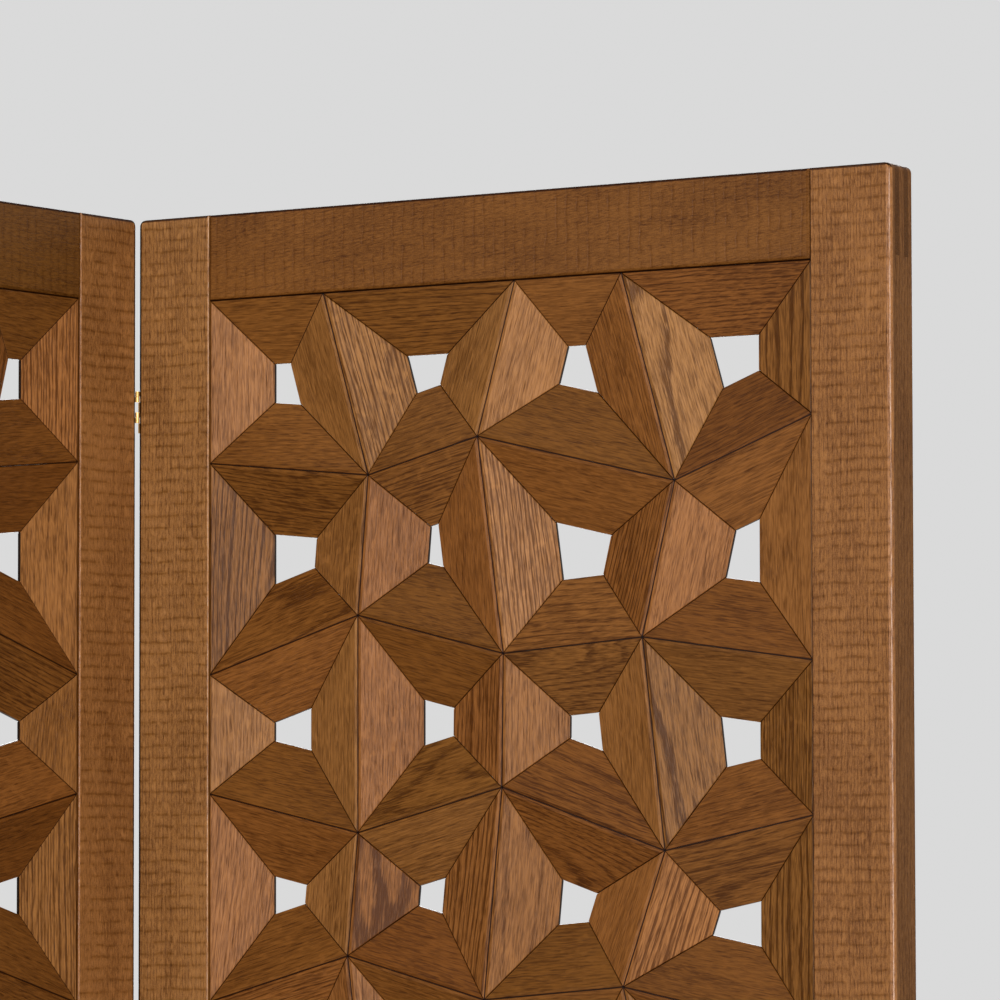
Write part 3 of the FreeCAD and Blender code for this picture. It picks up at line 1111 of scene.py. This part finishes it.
def hinge_pins():
    """The short riveted pins of both seams, which ride on the middle panel."""
    shape = bmesh.new()
    half = BARREL_HEIGHT / 2
    barrels = [low for level in hinge_levels() for low in barrel_lows(level)]
    for at_right in (False, True):
        for low in barrels:
            middle = mirrored(Vector((-PIVOT_SIDE, -PIVOT_FACE, low + half)), at_right, not at_right)
            for way in (-1, 1):
                turn = Matrix.Rotation(math.pi / 2 * (1 - way), 4, "X")
                place = Matrix.Translation(middle + Vector((0, 0, way * half / 2))) @ turn
                add_cone(shape, place, PIN_RADIUS, PIN_RADIUS * PIN_TAPER_SHARE, half, PIN_STEPS)
    made = to_object(shape, "hinge_pins_brass")
    smooth_rounds(made.data)
    dress(made, BRASS, "middle_panel", ["hinge_pins"])


for panel_name, edges in HINGED.items():
    for side_name in ("left", "right"):
        stile(panel_name, side_name, edges.get(side_name))
    for end_name in ("top", "bottom"):
        rail(panel_name, end_name)
for panel_name, edges in HINGED.items():
    for side_name, face_name in edges.items():
        at_back = face_name == "back"
        hinge_leaves(panel_name, side_name, at_back, upper=panel_name != "middle_panel")
        hinge_screws(panel_name, side_name, at_back)
hinge_pins()


# Floor, light and camera

FLOOR_REACH = 12.0
FLOOR_DARK = (0.39, 0.39, 0.39, 1)
FLOOR_LIGHT = (0.41, 0.41, 0.41, 1)
FLOOR_GLOW = (0.5, 0.5, 0.5, 1)


def background_share(net):
    """1 for rays that show the background: straight, mirrored or through glass."""
    path = net.node("ShaderNodeLightPath").outputs
    mirrored_too = net.math("MAXIMUM", path["Is Camera Ray"], path["Is Glossy Ray"])
    return net.math("MAXIMUM", mirrored_too, path["Is Transmission Ray"])


def studio_floor():
    """Pale floor that keeps the screen's shadow and meets the pale background."""
    shape = bmesh.new()
    bmesh.ops.create_grid(shape, x_segments=1, y_segments=1, size=FLOOR_REACH)
    made = to_object(shape, "floor")
    net = Net(bpy.data.materials.new("floor_paint"))
    place = net.node("ShaderNodeTexCoord").outputs["Object"]
    speck = net.noise(place, (60, 60, 60), 4.0)["Fac"]
    colour = net.blend(speck, FLOOR_DARK, FLOOR_LIGHT)
    paint = net.node("ShaderNodeBsdfDiffuse", {"Color": colour})
    glow = net.node("ShaderNodeEmission", {"Color": FLOOR_GLOW, "Strength": 1.0})
    both = net.node("ShaderNodeAddShader", {0: paint.outputs[0], 1: glow.outputs[0]})
    sources = {0: background_share(net), 1: paint.outputs[0], 2: both.outputs[0]}
    shader = net.node("ShaderNodeMixShader", sources)
    net.node("ShaderNodeOutputMaterial", {"Surface": shader.outputs[0]})
    made.data.materials.append(net.owner)
    made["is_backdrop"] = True


def studio_world(background, ambient):
    """World that shows one grey and lights the object with another, white strength."""
    world = bpy.data.worlds.new("studio")
    net = Net(world)
    shown = net.node("ShaderNodeBackground", {"Color": (background, background, background, 1)})
    lights = net.node("ShaderNodeBackground", {"Color": (1, 1, 1, 1), "Strength": ambient})
    sources = {0: background_share(net), 1: lights.outputs[0], 2: shown.outputs[0]}
    both = net.node("ShaderNodeMixShader", sources)
    net.node("ShaderNodeOutputWorld", {"Surface": both.outputs[0]})
    bpy.context.scene.world = world


def soft_light(name, bearing, height, spread, level):
    """Distant soft light that gives a white surface turned to it the brightness level.

    The bearing is in degrees from the front towards +X, the height in degrees above the floor.
    """
    lamp = bpy.data.lights.new(name, "SUN")
    lamp.angle = math.radians(spread)
    lamp.energy = level * math.pi
    turn = Matrix.Rotation(math.radians(bearing), 3, "Z")
    tilt = Matrix.Rotation(math.radians(90 - height), 3, "X")
    link(name, lamp).rotation_euler = (turn @ tilt).to_euler()


def photo_camera(place, yaw, pitch, roll, lens, shift):
    """Camera at the photograph's viewing angle, turned by degrees from looking along +Y."""
    data = bpy.data.cameras.new("photo_camera")
    data.sensor_width = 36.0
    data.lens = lens
    data.shift_x, data.shift_y = shift
    data.clip_end = 60.0
    camera = link("photo_camera", data)
    camera.location = place
    turn = Euler((0, 0, math.radians(yaw))).to_matrix()
    tilt = Euler((math.pi / 2 + math.radians(pitch), 0, 0)).to_matrix()
    lean = Euler((0, 0, math.radians(roll))).to_matrix()
    camera.rotation_euler = (turn @ tilt @ lean).to_euler()
    bpy.context.scene.camera = camera


studio_floor()
studio_world(background=0.7, ambient=0.03)
soft_light("front_light", bearing=2.6, height=2, spread=22, level=0.76)
soft_light("left_light", bearing=-46, height=4, spread=26, level=0.27)
soft_light("rear_light", bearing=172, height=9, spread=40, level=0.8)
soft_light("top_light", bearing=0, height=90, spread=60, level=0.3)
photo_camera(
    place=(-260.33 * MM, -3633.2 * MM, 1231.42 * MM),
    yaw=-10.384,
    pitch=3.25,
    roll=-0.042,
    lens=194.4,
    shift=(0.08, 0.08),
)
bpy.context.scene.view_settings.view_transform = "Standard"

boxes = {"cad": cad_box, "visual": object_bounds()}
{key: [list(corner) for corner in corners] for key, corners in boxes.items()}
